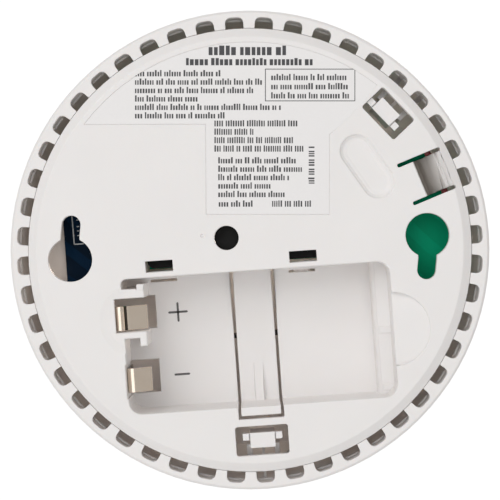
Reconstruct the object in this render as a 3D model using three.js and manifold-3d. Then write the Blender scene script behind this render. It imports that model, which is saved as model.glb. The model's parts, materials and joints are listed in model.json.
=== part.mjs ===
// Compact battery smoke alarm, hung on a wall or ceiling by two keyholes in its back plate.
// Millimetres. The origin is the centre of the flat mounting face, which faces -Y.
// The body grows towards +Y, where the domed front cover is. +Z is up, +X is to the right
// of someone who looks at the back plate. Angles are counted from +X towards +Z.
import * as THREE from 'three'
import Module from 'manifold-3d'
import { mergeVertices } from 'three/addons/utils/BufferGeometryUtils.js'

const wasm = await Module()
wasm.setup()

// ---------- driving dimensions ----------
const DISC_RADIUS = 50 // outer radius of the front cover
const BODY_DEPTH = 34 // from the mounting face to the front
const DISC_SEGMENTS = 96 // facets round the disc: two for each vent
const SMALL_SEGMENTS = 20 // facets round a small boss, pin or hole

const PLATE_RADIUS = 46.2 // edge of the back plate, where it meets the cover
const PLATE_FLAT_RADIUS = 44.4 // edge of its flat face
const PLATE_THICKNESS = 2
const RIM_DROP = 1.2 // how far the sloped edge falls back from the flat face
const SKIRT = { inner: 44, depth: 3.3 } // stiffening skirt inside the edge

const COVER_WALL = 1.8
const PARTING_GAP = 0.1 // between the plate's edge and the cover's rear flange
const VENT = { count: 48, outer: 48.6, width: 3.8, corner: 1.1 } // notches in the rear flange

const BAY = { left: -27.3, right: 28.7, top: -4.3, bottom: -32.5, depth: 17, wall: 1.2, floor: 1.7 }
const BAY_CORNERS = { topLeft: 1, others: 2.6 }

const PLATE_CENTRE = [-0.2, 0.55] // X and Z of the point that keyholes and hooks are laid out round
const KEYHOLE = { ring: 37.25, headRadius: 4.58, slotRadius: 1.95, sweep: 11.2 }
const HOOKS = [{ angle: 270, opening: 11, slip: 0.1 }, { angle: 39.9, opening: 9.6, slip: 0.6 }]
const HOOK = { ring: 40.2, radial: 6.1, block: [5.2, 3.1], ears: [8.2, 1.45], seam: 0.2, rib: 1.1 }

const TONGUE = { half: 4.15, slit: 0.6, root: -4.4, end: -34.4, endGap: 0.7, thickness: 1.5, lip: 1.8 }
const BRIDGE = { angle: 18.7, inner: 35, outer: 44.6, slit: 0.8, spacing: 8.5 }
const PEEPHOLE = { x: -4.7, z: 2.85, radius: 2.54 }
const WINDOWS = [-19.1, 10.9] // X of the two hook windows above the battery bay
const WINDOW = { width: 5.7, height: 2.35, z: -2.05 }
const FLOOR_SLIT = [-5.5, -4.95] // Z of the slit in the bay's floor below each window

const GATE_MARK = { x: -9.7, z: 3.6, radius: 0.35 } // dimple where the plastic flowed in
const CONTACT_RING = { x: -24.5, z: -12.9, radius: 7.6, slope: 1.5, depth: 0.3 } // shallow dish

const LABEL = { thickness: 0.1, recess: 0.15, edge: 43.2 }

const BOARD = { back: 8, thickness: 1.6, radius: 43.3 }
const BOARD_FRONT = BOARD.back + BOARD.thickness + 0.1 // where the pieces on it start
const BOARD_SCREWS = [[19.5, 1], [14, 36], [-20, 35]]
const CARRIER_SCREWS = [[-36.5, 15.5], [-38, -11.5]]
const CHAMBER = { x: -4.5, z: 15.5, radius: 15, flange: 19.6, back: 5.6, floor: 10.6, top: 19 }
const SOUNDER = { x: -24, z: 8, radius: 14.5, back: 20, front: 29 }
const BUTTON = { x: 19, z: 21, radius: 8.3, clearance: 0.3 }
const LIGHT = { x: 22, z: 7, radius: 1.5, clearance: 0.25 }

// ---------- shape helpers ----------
const radians = degrees => degrees * Math.PI / 180
const polar = (radius, degrees) => [radius * Math.cos(radians(degrees)), radius * Math.sin(radians(degrees))]

// Closed outline from corners [x, y, corner radius].
function outline(corners, arcStep = 22.5) {
  const points = []
  corners.forEach(([cornerX, cornerY, radius = 0], i) => {
    const corner = new THREE.Vector2(cornerX, cornerY)
    if (radius === 0) {
      points.push(corner)
      return
    }
    const previous = corners[(i + corners.length - 1) % corners.length]
    const next = corners[(i + 1) % corners.length]
    const back = new THREE.Vector2(previous[0], previous[1]).sub(corner).normalize()
    const ahead = new THREE.Vector2(next[0], next[1]).sub(corner).normalize()
    const half = Math.acos(back.dot(ahead)) / 2
    const reach = radius / Math.tan(half)
    const start = corner.clone().addScaledVector(back, reach)
    const end = corner.clone().addScaledVector(ahead, reach)
    const inward = back.clone().add(ahead).normalize()
    const centre = corner.clone().addScaledVector(inward, radius / Math.sin(half))
    const from = start.sub(centre).angle()
    let sweep = end.sub(centre).angle() - from
    if (sweep > Math.PI) sweep -= 2 * Math.PI
    if (sweep < -Math.PI) sweep += 2 * Math.PI
    const steps = Math.max(1, Math.round(Math.abs(sweep) / radians(arcStep)))
    for (let k = 0; k <= steps; k++) {
      const angle = from + sweep * k / steps
      const [x, y] = [centre.x + radius * Math.cos(angle), centre.y + radius * Math.sin(angle)]
      points.push(new THREE.Vector2(x, y))
    }
  })
  return new THREE.Shape(points)
}

const rectangle = (left, right, low, high, radius = 0) =>
  outline([[left, low, radius], [right, low, radius], [right, high, radius], [left, high, radius]])

// Points of an arc round the origin, as outline corners.
function arcCorners(radius, from, to, step = 3.75) {
  const count = Math.max(1, Math.round(Math.abs(to - from) / step))
  return Array.from({ length: count + 1 }, (_, k) => polar(radius, from + (to - from) * k / count))
}

// A closed triangle mesh as a solid that can be joined and cut.
function solid(geometry) {
  geometry.deleteAttribute('normal')
  geometry.deleteAttribute('uv')
  const welded = mergeVertices(geometry, 1e-4)
  const index = welded.index.array
  const triangles = []
  for (let i = 0; i < index.length; i += 3) {
    const [a, b, c] = [index[i], index[i + 1], index[i + 2]]
    if (a !== b && b !== c && c !== a) triangles.push(a, b, c)
  }
  return new wasm.Manifold(new wasm.Mesh({
    numProp: 3,
    vertProperties: new Float32Array(welded.attributes.position.array),
    triVerts: new Uint32Array(triangles),
  }))
}

const extrude = (shape, depth) => new THREE.ExtrudeGeometry(shape, { depth, bevelEnabled: false, steps: 1 })

// An outline in X and Z, carried from one depth to another along Y.
const slab = (shape, yNear, yFar) =>
  solid(extrude(shape, yFar - yNear).rotateX(Math.PI / 2).translate(0, yFar, 0))

// An outline in X and Y, carried up Z.
const upright = (shape, zLow, zHigh) => solid(extrude(shape, zHigh - zLow).translate(0, 0, zLow))

// An outline in Y and Z, carried along X.
const AXES_YZX = new THREE.Matrix4().makeBasis(
  new THREE.Vector3(0, 1, 0), new THREE.Vector3(0, 0, 1), new THREE.Vector3(1, 0, 0))
const crosswise = (shape, xLow, xHigh) =>
  solid(extrude(shape, xHigh - xLow).applyMatrix4(AXES_YZX).translate(xLow, 0, 0))

const block = (x, y, z) =>
  solid(new THREE.BoxGeometry(x[1] - x[0], y[1] - y[0], z[1] - z[0])
    .translate((x[0] + x[1]) / 2, (y[0] + y[1]) / 2, (z[0] + z[1]) / 2))

// A round pin or hole along Y.
const pin = (x, z, radius, yNear, yFar, segments = SMALL_SEGMENTS) =>
  solid(new THREE.CylinderGeometry(radius, radius, yFar - yNear, segments)
    .translate(x, (yNear + yFar) / 2, z))

// A turned shape about an axis along Y. The profile of [radius, y] runs anticlockwise, and
// either starts and ends on the axis or is a ring's section, which is closed here.
function turned(profile, segments = DISC_SEGMENTS, x = 0, z = 0) {
  const points = profile.map(([r, y]) => new THREE.Vector2(r, y))
  if (profile[0][0] > 0) points.push(points[0].clone())
  return solid(new THREE.LatheGeometry(points, segments).rotateY(Math.PI / 2).translate(x, 0, z))
}

// Turns a solid about the disc's axis, from +X to the given angle.
const swing = (body, degrees) => body.rotate([0, -degrees, 0])

// The same about the point that the plate's own features are laid out round.
const swingOnPlate = (body, degrees) =>
  swing(body, degrees).translate([PLATE_CENTRE[0], 0, PLATE_CENTRE[1]])

// A strip of even thickness that follows a line of points in X and Y.
function stripShape(points, thickness) {
  const line = points.map(([x, y]) => new THREE.Vector2(x, y))
  const side = sign => line.map((point, i) => {
    const before = point.clone().sub(line[Math.max(i - 1, 0)])
    const after = line[Math.min(i + 1, line.length - 1)].clone().sub(point)
    const along = before.normalize().add(after.normalize()).normalize()
    const turn = Math.max(0.5, (i ? before : after).dot(along))
    return new THREE.Vector2(point.x - sign * along.y * thickness / 2 / turn,
      point.y + sign * along.x * thickness / 2 / turn)
  })
  return new THREE.Shape([...side(1), ...side(-1).reverse()])
}

// A round wire along a list of points.
function wire(points, radius, steps) {
  const path = new THREE.CatmullRomCurve3(points.map(([x, y, z]) => new THREE.Vector3(x, y, z)))
  const section = new THREE.Shape(arcCorners(radius, 0, 300, 60).map(([x, y]) => new THREE.Vector2(x, y)))
  return solid(new THREE.ExtrudeGeometry(section, { steps, extrudePath: path, bevelEnabled: false }))
}

// ---------- assembly ----------
const group = new THREE.Group()

function part(name, body, look) {
  const { vertProperties, triVerts } = body.getMesh()
  const geometry = new THREE.BufferGeometry()
  geometry.setAttribute('position', new THREE.BufferAttribute(vertProperties, 3))
  geometry.setIndex(new THREE.BufferAttribute(triVerts, 1))
  geometry.computeVertexNormals()
  const mesh = new THREE.Mesh(geometry, look)
  mesh.name = name
  group.add(mesh)
}

const finish = (color, roughness, metalness = 0) =>
  new THREE.MeshStandardMaterial({ color, roughness, metalness })
const LOOKS = {
  casing: finish(0xe7e4e3, 0.45),
  label: finish(0xe4e5e8, 0.6),
  spring: finish(0xb4a594, 0.25, 1),
  greenBoard: finish(0x00603f, 0.4),
  darkBoard: finish(0x001a2c, 0.35),
  blackPlastic: finish(0x141313, 0.5),
  greyPlastic: finish(0xa59b94, 0.5),
  chip: finish(0x1c1c1e, 0.5),
  aluminium: finish(0xb8bcc0, 0.35, 1),
  brass: finish(0xc9a050, 0.3, 1),
  screw: finish(0xa9abad, 0.3, 1),
  clear: finish(0xdfe8ea, 0.1),
  redLamp: finish(0xb01020, 0.2),
  redWire: finish(0x7a0d18, 0.5),
  blackWire: finish(0x161616, 0.5),
}

// ---------- back plate ----------
const bayOutline = (grow = 0) => {
  const round = BAY_CORNERS.others + grow
  return outline([
    [BAY.left - grow, BAY.bottom - grow, round],
    [BAY.right + grow, BAY.bottom - grow, round],
    [BAY.right + grow, BAY.top + grow, round],
    [BAY.left - grow, BAY.top + grow, BAY_CORNERS.topLeft + grow],
  ])
}

// Keyhole at one end of the X axis: a round hole and a slot that curves on round the disc.
function keyhole(angle) {
  const { ring, headRadius, slotRadius, sweep } = KEYHOLE
  const [yNear, yFar] = [-1, PLATE_THICKNESS + 1]
  const slot = outline([
    ...arcCorners(ring + slotRadius, angle - sweep, angle),
    ...arcCorners(ring - slotRadius, angle, angle - sweep),
  ])
  const cutter = pin(...polar(ring, angle), headRadius, yNear, yFar, 36)
    .add(pin(...polar(ring, angle - sweep), slotRadius, yNear, yFar, 24))
    .add(slab(slot, yNear, yFar))
  return swingOnPlate(cutter, 0)
}

// The bay's right end: a ledge under the battery's foot, with two low ribs across it.
const LEDGE = { reach: 3.35, high: 9.4, low: 10.4, ribs: [[-19.6, -18.2], [-31.8, -30.4]], ribHeight: 0.55 }
function endSupport() {
  const [foot, wall] = [BAY.right - LEDGE.reach, BAY.right + 0.1]
  const floor = BAY.depth + 0.1
  const ledge = outline([
    [wall, LEDGE.high], [foot + 0.7, LEDGE.low - 0.2], [foot, LEDGE.low + 0.6], [foot, floor], [wall, floor],
  ])
  const rib = outline([
    [wall, LEDGE.high - LEDGE.ribHeight], [foot + 1, LEDGE.low - LEDGE.ribHeight],
    [foot + 1, LEDGE.low + 1], [wall, LEDGE.low + 1],
  ])
  let support = upright(ledge, BAY.bottom - 0.1, BAY.top + 0.1)
  for (const z of LEDGE.ribs) support = support.add(upright(rib, ...z))
  return support
}

// Walls that guard the positive contact, each with a short flange at its end.
function contactGuards() {
  const [left, right] = [BAY.left - 0.1, -22.6]
  const reach = [0, BAY.depth + 0.1]
  return block([left, right], reach, [-8.4, -6.4])
    .add(block([right - 1.5, right], reach, [-6.5, -5.5]))
    .add(block([left, right], reach, [-16.7, -15.25]))
    .add(block([right - 1.5, right], reach, [-18.4, -16.6]))
}

const CONTACT_OPENINGS = [
  { x: [-29, -21.25], z: [-15.35, -8.3] },
  { x: [-27.6, -21.35], z: [-29.2, -22.1] },
]

// Wall behind the left window's outer edge, and a web behind the middle of the right floor slit.
function windowCheek() {
  const edge = WINDOWS[0] - WINDOW.width / 2
  return block([edge - 1.2, edge], [1.5, 12], [WINDOW.z - 1.5, WINDOW.z + 0.9])
}
function slitWeb() {
  const floor = BAY.depth + BAY.floor
  const across = [WINDOWS[1] - 1.7, WINDOWS[1] + 1.7]
  return block(across, [floor - 0.5, floor + 0.6], [FLOOR_SLIT[0] - 0.6, FLOOR_SLIT[1] + 0.6])
}

// Pocket through which one of the cover's hooks is reached, and its place on the disc.
const hookPocket = ({ angle, opening }) => {
  const half = HOOK.radial / 2
  const shape = rectangle(HOOK.ring - half, HOOK.ring + half, -opening / 2, opening / 2, 0.5)
  return swingOnPlate(slab(shape, -1, SKIRT.depth + 0.5), angle)
}

// Strip beside the right keyhole, freed by two slits. Towards its outer end it sinks steeply
// below the flat plate and rises again to the rim.
const TROUGH = {
  edge: 38.3, outer: 44.3,
  line: [[43.6, 2.6], [42.6, 4.1], [41.6, 4.7], [40.8, 5.6], [40.1, 5.6], [39.3, 4.4], [38.7, 2.4]],
}
const alongStrip = (shape, half) =>
  swing(upright(shape, -half, half), BRIDGE.angle)
function bridgeBacking() {
  const [inner, outer] = [TROUGH.edge - 1.2, SKIRT.inner + 0.6]
  const start = PLATE_THICKNESS - 0.5
  const profile = outline([
    [inner, start], [outer, start], [outer, 3.4], [43.2, 5], [41.9, 5.1], [41.2, 6.7], [39.4, 6.7],
    [inner, 3.6],
  ])
  return alongStrip(profile, (BRIDGE.spacing - BRIDGE.slit) / 2)
}
function bridgeCuts() {
  const slits = [-1, 1].map(side => {
    const z = side * BRIDGE.spacing / 2
    return slab(rectangle(BRIDGE.inner, BRIDGE.outer, z - BRIDGE.slit / 2, z + BRIDGE.slit / 2, 0.35), -1, 6)
  })
  const { edge, outer, line } = TROUGH
  const trough = outline([[edge, -1], [outer, -1], [outer, 0.2], ...line, [edge, 0]])
  return swing(slits[0].add(slits[1]), BRIDGE.angle).add(alongStrip(trough, BRIDGE.spacing / 2))
}

// Thumb scoop beside the bay: a tilted round recess that deepens towards the bay.
const SCOOP = { x: 28.8, z: -18.5, radius: 7.7, tilt: 11, depth: 1.9 }
const scoopBacking = () =>
  pin(SCOOP.x + 1, SCOOP.z, SCOOP.radius + 0.9, 1, 3.9, 40).subtract(slab(bayOutline(), -1, BAY.depth))
const scoopCut = () =>
  solid(new THREE.CylinderGeometry(SCOOP.radius, SCOOP.radius, 8, 48)
    .translate(0, -4, 0).rotateZ(radians(-SCOOP.tilt)).translate(SCOOP.x, SCOOP.depth, SCOOP.z))

// Shallow dish with two round ends and a rounded floor.
const DENT = { from: [23.5, 19], to: [27.6, 12.3], radius: 3.45, depth: 0.9, round: 1.5 }
function fingerDent() {
  const [from, to] = [DENT.from, DENT.to].map(([x, z]) => new THREE.Vector2(x, z))
  const along = to.clone().sub(from).angle()
  const radius = DENT.radius - DENT.round
  const shape = new THREE.Shape()
    .absarc(from.x, from.y, radius, along + Math.PI / 2, along + 3 * Math.PI / 2)
    .absarc(to.x, to.y, radius, along - Math.PI / 2, along + Math.PI / 2)
  const dish = new THREE.ExtrudeGeometry(shape, {
    depth: 2, curveSegments: 10, bevelThickness: DENT.depth, bevelSize: DENT.round, bevelSegments: 3,
  })
  return solid(dish.rotateX(Math.PI / 2))
}

function contactRing() {
  const { x, z, radius, slope, depth } = CONTACT_RING
  return turned([[0, -depth], [radius + slope, -depth], [radius - slope, depth], [0, depth]], 48, x, z)
}

// Where the rating label lies, from its lower left end round to the rim.
const labelOutline = (grow = 0) => {
  const edge = LABEL.edge + grow
  const corners = [
    [-32.5 - grow, 28.5 - grow], [-7.3 - grow, 26.8 - grow], [-8.5 - grow, 8.1 - grow],
    [16.9 + grow, 6.3 - grow], [18.1 + grow, 22.8 - grow / 2], [25 + grow, 27.9 - grow / 2],
  ]
  return outline([...corners, ...arcCorners(edge, 48.5, 138)])
}

function ratingLabel() {
  const front = LABEL.recess - 0.02
  return slab(labelOutline(), front - LABEL.thickness, front)
}

function backPlate() {
  let plate = turned([
    [0, 0], [PLATE_FLAT_RADIUS, 0], [PLATE_RADIUS, RIM_DROP], [PLATE_RADIUS, SKIRT.depth],
    [SKIRT.inner, SKIRT.depth], [SKIRT.inner - 0.8, PLATE_THICKNESS], [0, PLATE_THICKNESS],
  ])
  plate = plate.add(slab(bayOutline(BAY.wall), 0.5, BAY.depth + BAY.floor))
    .subtract(slab(bayOutline(), -1, BAY.depth))
    .add(endSupport())
    .add(contactGuards())
    .add(bridgeBacking())
    .add(scoopBacking())
  for (const [x, z] of BOARD_SCREWS) plate = plate.add(pin(x, z, 2.6, 1, BOARD.back - 0.1))
  for (const [x, z] of CARRIER_SCREWS) plate = plate.add(pin(x, z, 2.5, 1, CARRIER.back - 0.1))

  for (const { x, z } of CONTACT_OPENINGS) plate = plate.subtract(block(x, [-1, 20], z))
  const tongueWay = [-TONGUE.half - TONGUE.slit, TONGUE.half + TONGUE.slit]
  plate = plate.subtract(block(tongueWay, [BAY.depth - 1, 20], [BAY.bottom - 3, TONGUE.root + 0.25]))
    .subtract(block(tongueWay, [-1, 20], [TONGUE.end - TONGUE.endGap, BAY.bottom + 1]))
  for (const x of WINDOWS) {
    const across = [x - WINDOW.width / 2, x + WINDOW.width / 2]
    const opening = [WINDOW.z - WINDOW.height / 2, WINDOW.z + WINDOW.height / 2]
    plate = plate.subtract(block(across, [-1, PLATE_THICKNESS + 1], opening))
      .subtract(block(across, [BAY.depth - 1, 20], FLOOR_SLIT))
  }
  plate = plate.add(windowCheek()).add(slitWeb())
  plate = plate.subtract(keyhole(0)).subtract(keyhole(180)).subtract(bridgeCuts()).subtract(scoopCut())
  for (const hook of HOOKS) plate = plate.subtract(hookPocket(hook))

  plate = plate.subtract(pin(PEEPHOLE.x, PEEPHOLE.z, PEEPHOLE.radius, -1, 4, 32))
    .subtract(pin(GATE_MARK.x, GATE_MARK.z, GATE_MARK.radius, -1, 0.3, 12))
    .subtract(fingerDent())
    .subtract(contactRing())
    .subtract(slab(labelOutline(0.06), -1, LABEL.recess))
  for (const [x, z] of BOARD_SCREWS) plate = plate.subtract(pin(x, z, 1.25, 3.2, 9, 12))
  for (const [x, z] of CARRIER_SCREWS) plate = plate.subtract(pin(x, z, 1.25, 3.2, 11, 12))
  return plate
}

// ---------- battery tongue ----------
// Floor strip that hinges at the top of the bay, turns up the bay's lower wall and ends in a lip.
// A low ridge near its free end presses against the battery.
const RIDGE = { start: -23, height: 1.5, width: 1.9 }
function batteryTongue() {
  const floor = BAY.depth
  const below = floor + TONGUE.thickness
  const wall = BAY.bottom - 0.1
  const outside = wall - TONGUE.thickness + 0.2
  const thinned = floor + 0.9 // the strip is thinner where it bends
  const profile = outline([
    [floor, TONGUE.root], [thinned, TONGUE.root], [thinned, TONGUE.root - 2], [below, TONGUE.root - 3],
    [below, outside, 1.2], [TONGUE.lip + 0.6, outside], [TONGUE.lip, TONGUE.end], [0.1, TONGUE.end],
    [0.1, wall], [floor, wall, 0.8],
  ])
  const ridge = outline([
    [floor + 0.2, RIDGE.start], [floor + 0.2, wall - 0.2],
    [floor - RIDGE.height, wall - 0.2], [floor - RIDGE.height + 0.2, wall + 2.6],
  ])
  return crosswise(profile, -TONGUE.half, TONGUE.half)
    .add(crosswise(ridge, -RIDGE.width / 2, RIDGE.width / 2))
}

// ---------- front cover ----------
// Rear flange with a ring of vents, straight side, round shoulder and a front with a raised middle.
const SHOULDER = { flat: 38.5, start: 15, squareness: 0.9 } // flat front's radius, depth of the start
const FACE = { radius: 37.6, rise: 0.6 } // raised middle of the front
const BUTTON_WELL = 2.4 // width of the lowered ring round the test button
const FLANGE_INNER = PLATE_RADIUS + PARTING_GAP
const FLANGE_THICKNESS = 1.6

function shoulder(inset, steps) {
  const across = DISC_RADIUS - SHOULDER.flat
  const along = BODY_DEPTH - FACE.rise - SHOULDER.start - inset
  return Array.from({ length: steps + 1 }, (_, k) => {
    const angle = radians(90 * k / steps)
    const bulge = Math.pow(Math.cos(angle), SHOULDER.squareness)
    return [
      SHOULDER.flat - inset * 0.4 + (across - inset * 0.6) * bulge,
      SHOULDER.start + along * Math.sin(angle),
    ]
  })
}

// A hook that stands up from the cover's side, with two ears at its tip.
function coverHook() {
  const [width, radial] = HOOK.block
  const [earSpan, earRadial] = HOOK.ears
  const inner = HOOK.ring - radial / 2
  const wallReach = DISC_RADIUS - 0.8
  let hook = block([inner, inner + radial], [0.9, 11], [-width / 2, width / 2])
    .add(block([inner + 0.05, inner + earRadial], [0.95, 2.8], [-earSpan / 2, earSpan / 2]))
    .add(block([inner + radial - 0.5, wallReach], [8, 11], [-0.3, 0.3]))
  const span = (side, from, to) => side < 0 ? [-to, -from] : [from, to]
  for (const side of [-1, 1]) {
    const rib = span(side, width / 2 - 0.2, width / 2 - 0.2 + HOOK.rib)
    const seam = span(side, width / 2 - 0.02, width / 2 + HOOK.seam)
    hook = hook.add(block([inner + radial - 0.5, wallReach], [SKIRT.depth + 0.4, 11], rib))
      .subtract(block([inner - 1, inner + earRadial + 0.1], [0, 2.2], seam))
  }
  return hook
}

// Arcs of sound slots over the sounder, in quarter rings with a bridge between their ends.
const SLOTS = { rings: [4.6, 7.7, 10.8], half: 0.75, bridge: 1.7, centre: 1.5 }
const FRONT_CUT = [28, BODY_DEPTH + 1] // depths between which the front's openings are cut
function soundSlots() {
  let slots = pin(0, 0, SLOTS.centre, ...FRONT_CUT, 16)
  for (const ring of SLOTS.rings) {
    const gap = THREE.MathUtils.radToDeg(SLOTS.bridge / ring)
    const corners = [
      ...arcCorners(ring + SLOTS.half, gap, 90 - gap, 15),
      ...arcCorners(ring - SLOTS.half, 90 - gap, gap, 15),
    ]
    const slot = slab(outline(corners), ...FRONT_CUT)
    for (const quarter of [0, 90, 180, 270]) slots = slots.add(swing(slot, quarter))
  }
  return slots.translate([SOUNDER.x, 0, SOUNDER.z])
}

function frontCover() {
  const inside = DISC_RADIUS - COVER_WALL
  const outer = shoulder(0, 7)
  const inner = shoulder(COVER_WALL, 3)
  let cover = turned([
    [FLANGE_INNER, RIM_DROP], [DISC_RADIUS - 0.5, RIM_DROP], [DISC_RADIUS, RIM_DROP + 0.5],
    ...outer, [FACE.radius + 0.3, BODY_DEPTH - FACE.rise], [FACE.radius, BODY_DEPTH],
    [0, BODY_DEPTH], [0, BODY_DEPTH - FACE.rise - COVER_WALL],
    ...inner.reverse(), [inside, RIM_DROP + FLANGE_THICKNESS], [FLANGE_INNER, RIM_DROP + FLANGE_THICKNESS],
  ])
  const half = VENT.width / 2
  const notch = slab(outline([
    [FLANGE_INNER - 1, -half], [VENT.outer, -half, VENT.corner],
    [VENT.outer, half, VENT.corner], [FLANGE_INNER - 1, half],
  ], 30), 0, 6)
  for (let k = 0; k < VENT.count; k++) cover = cover.subtract(swing(notch, k * 360 / VENT.count))
  for (const { angle, slip } of HOOKS) {
    cover = cover.add(swingOnPlate(coverHook().translate([0, 0, slip]), angle))
  }
  const face = BODY_DEPTH - FACE.rise
  return cover.subtract(soundSlots())
    .subtract(pin(BUTTON.x, BUTTON.z, BUTTON.radius + BUTTON.clearance, ...FRONT_CUT, 48))
    .subtract(pin(BUTTON.x, BUTTON.z, BUTTON.radius + BUTTON_WELL, face, BODY_DEPTH + 1, 48))
    .subtract(pin(LIGHT.x, LIGHT.z, LIGHT.radius + LIGHT.clearance, ...FRONT_CUT, 16))
}

// ---------- battery contacts ----------
// Nickel-plated strips: a tail that goes down through the bay's floor, a fold, and a sloping blade.
const CONTACT = { width: 5.1, thickness: 0.4 }
const POSITIVE_PATH = [
  [-29.3, 19], [-29.3, 3.5], [-29, 2.8], [-28.5, 2.55], [-28, 2.75], [-27.7, 3.4], [-27.6, 4.5],
  [-27.3, 5.1], [-26.7, 5.5], [-22.6, 7.6],
]
const NEGATIVE_PATH = [[-27.3, 19], [-27.3, 4.4], [-27.1, 3.9], [-26.6, 3.8], [-22.5, 6.4]]
const contact = (path, z) =>
  upright(stripShape(path, CONTACT.thickness), z - CONTACT.width / 2, z + CONTACT.width / 2)

// ---------- boards ----------
// Half-round board above the bay, whose right end reaches down behind the keyhole.
function mainBoard() {
  const chord = BAY.top + BAY.wall + 0.5
  const tabLeft = BAY.right + 2.7
  const [tabAngle, leftAngle] = [-12.8, 125]
  const [, tabLow] = polar(BOARD.radius, tabAngle)
  const shape = outline([
    [-25, chord + 2], [-21.5, chord + 2], [-21.5, chord], [tabLeft, chord], [tabLeft, tabLow],
    ...arcCorners(BOARD.radius, tabAngle, leftAngle),
  ])
  let board = slab(shape, BOARD.back, BOARD.back + BOARD.thickness)
    .subtract(pin(CHAMBER.x, CHAMBER.z, CHAMBER.radius + 1.3, 5, 12, 48))
    .subtract(swingOnPlate(block([37.2, 50], [5, 12], [-6, 6.4]), HOOKS[1].angle))
  for (const [x, z] of BOARD_SCREWS) board = board.subtract(pin(x, z, 1.6, 5, 12, 16))
  return board
}

const SOUNDER_BOARD = { left: -39.1, right: -29, low: -6.5, high: 11.5, back: 8.2 }
const PIEZO_LEADS = [[-33, 5], [-30.6, 8]] // where the sounder's two leads pass the board
function sounderBoard() {
  const { left, right, low, high, back } = SOUNDER_BOARD
  let board = slab(rectangle(left, right, low, high, 0.6), back, back + BOARD.thickness)
  for (const [x, z] of PIEZO_LEADS) board = board.subtract(pin(x, z, 0.9, 5, 12, 12))
  return board
}

// ---------- optical chamber ----------
function chamberBase() {
  const { x, z, radius, flange, back, floor } = CHAMBER
  const foot = rectangle(x - flange + 2.35, x + flange, BAY.top + BAY.wall + 0.6, z - 4, 1.5)
  const thickness = 2.1
  return slab(foot, back, back + thickness)
    .add(pin(x, z, flange - 1.9, back, back + thickness, 48))
    .add(pin(x, z, radius + 0.8, back + thickness - 0.1, floor - 0.2, 48))
    .subtract(pin(x, z, 1.2, back - 1, back + 0.8, 16))
}

// Cap with a ring of slanted vanes that let smoke in and keep light out.
const VANE = { count: 16, reach: 2.6, half: 0.5, slant: 38 }
function chamberLabyrinth() {
  const { x, z, radius } = CHAMBER
  const { count, reach, half, slant } = VANE
  let labyrinth = pin(0, 0, radius, CHAMBER.top - 1.5, CHAMBER.top, 48)
  const vane = block([-reach, reach], [CHAMBER.floor, CHAMBER.top - 1.4], [-half, half])
    .rotate([0, slant, 0]).translate([radius - reach, 0, 0])
  for (let k = 0; k < count; k++) labyrinth = labyrinth.add(swing(vane, k * 360 / count))
  return labyrinth.translate([x, 0, z])
}

// Band of insect screen round the vanes, open in tall windows.
const SCREEN = { gap: 0.35, thickness: 0.35, windows: 16 }
function insectScreen() {
  const { x, z, radius } = CHAMBER
  const inner = radius + SCREEN.gap
  const outer = inner + SCREEN.thickness
  const [low, high] = [CHAMBER.floor, CHAMBER.top - 0.2]
  let screen = turned([[inner, low], [outer, low], [outer, high], [inner, high]], 48)
  const opening = block([radius - 1, radius + 2], [low + 0.8, high - 0.8], [-2.2, 2.2])
  for (let k = 0; k < SCREEN.windows; k++) screen = screen.subtract(swing(opening, k * 360 / SCREEN.windows))
  return screen.translate([x, 0, z])
}

// A round-nosed optical diode lying in the chamber and looking along the given angle.
function diode(angle, radius) {
  const profile = [
    [0, -3.4], [radius + 0.4, -3.4], [radius + 0.4, -2.4], [radius, -2.4], [radius, 1.2],
    [radius * 0.75, 2.8], [0, 3.6],
  ]
  const body = solid(new THREE.LatheGeometry(profile.map(([r, y]) => new THREE.Vector2(r, y)), 16)
    .rotateZ(-Math.PI / 2))
  const [x, z] = polar(-5.6, angle)
  return swing(body, angle).translate([CHAMBER.x + x, 13.9, CHAMBER.z + z])
}

// ---------- sounder ----------
const CARRIER = { back: 10.3, thickness: 1.5, posts: [[-34, -1], [-31.5, 14], [-25, 3]] }
const PIEZO_SEAT = 24.8

// Moulding with a plate that holds the small board, three posts, and a round cup for the piezo disc.
function sounderCarrier() {
  const { x, z, radius, back, front } = SOUNDER
  const base = outline([
    [-42.5, -15.5, 1], [-30, -15.5, 1], [-30, -1.8], [-23.6, -1.8, 1], [-23.6, 19.5, 1],
    [-40.8, 19.5, 1], [-45.2, 6, 2], [-45.2, -4, 2],
  ])
  let carrier = slab(base, CARRIER.back, CARRIER.back + CARRIER.thickness)
    .add(turned([
      [0, back], [radius, back], [radius, front], [radius - 1.2, front], [radius - 1.2, PIEZO_SEAT],
      [radius - 2.6, PIEZO_SEAT], [radius - 2.6, back + 1.3], [0, back + 1.3],
    ], 40, x, z))
  for (const [px, pz] of CARRIER.posts) {
    carrier = carrier.add(block([px - 1.2, px + 1.2], [CARRIER.back + 1, back + 0.5], [pz - 1.2, pz + 1.2]))
  }
  for (const [px, pz] of CARRIER_SCREWS) carrier = carrier.subtract(pin(px, pz, 1.6, 5, 14, 16))
  for (const [px, pz] of PIEZO_LEADS) carrier = carrier.subtract(pin(px, pz, 1, 5, 23, 12))
  return carrier
}

const piezoLayer = (radius, above, thickness) =>
  pin(SOUNDER.x, SOUNDER.z, radius, PIEZO_SEAT + above, PIEZO_SEAT + above + thickness, 40)
const piezoDisc = () => piezoLayer(SOUNDER.radius - 1.5, 0.1, 0.3)
const piezoCeramic = () => piezoLayer(9.5, 0.45, 0.25)
const piezoLead = ([x, z], [toX, toZ]) => wire([
  [x, 8.6, z], [x, 14, z], [x, 21.6, z], [(x + toX) / 2, 23.2, (z + toZ) / 2],
  [toX, PIEZO_SEAT - 0.3, toZ],
], 0.4, 10)

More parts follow.
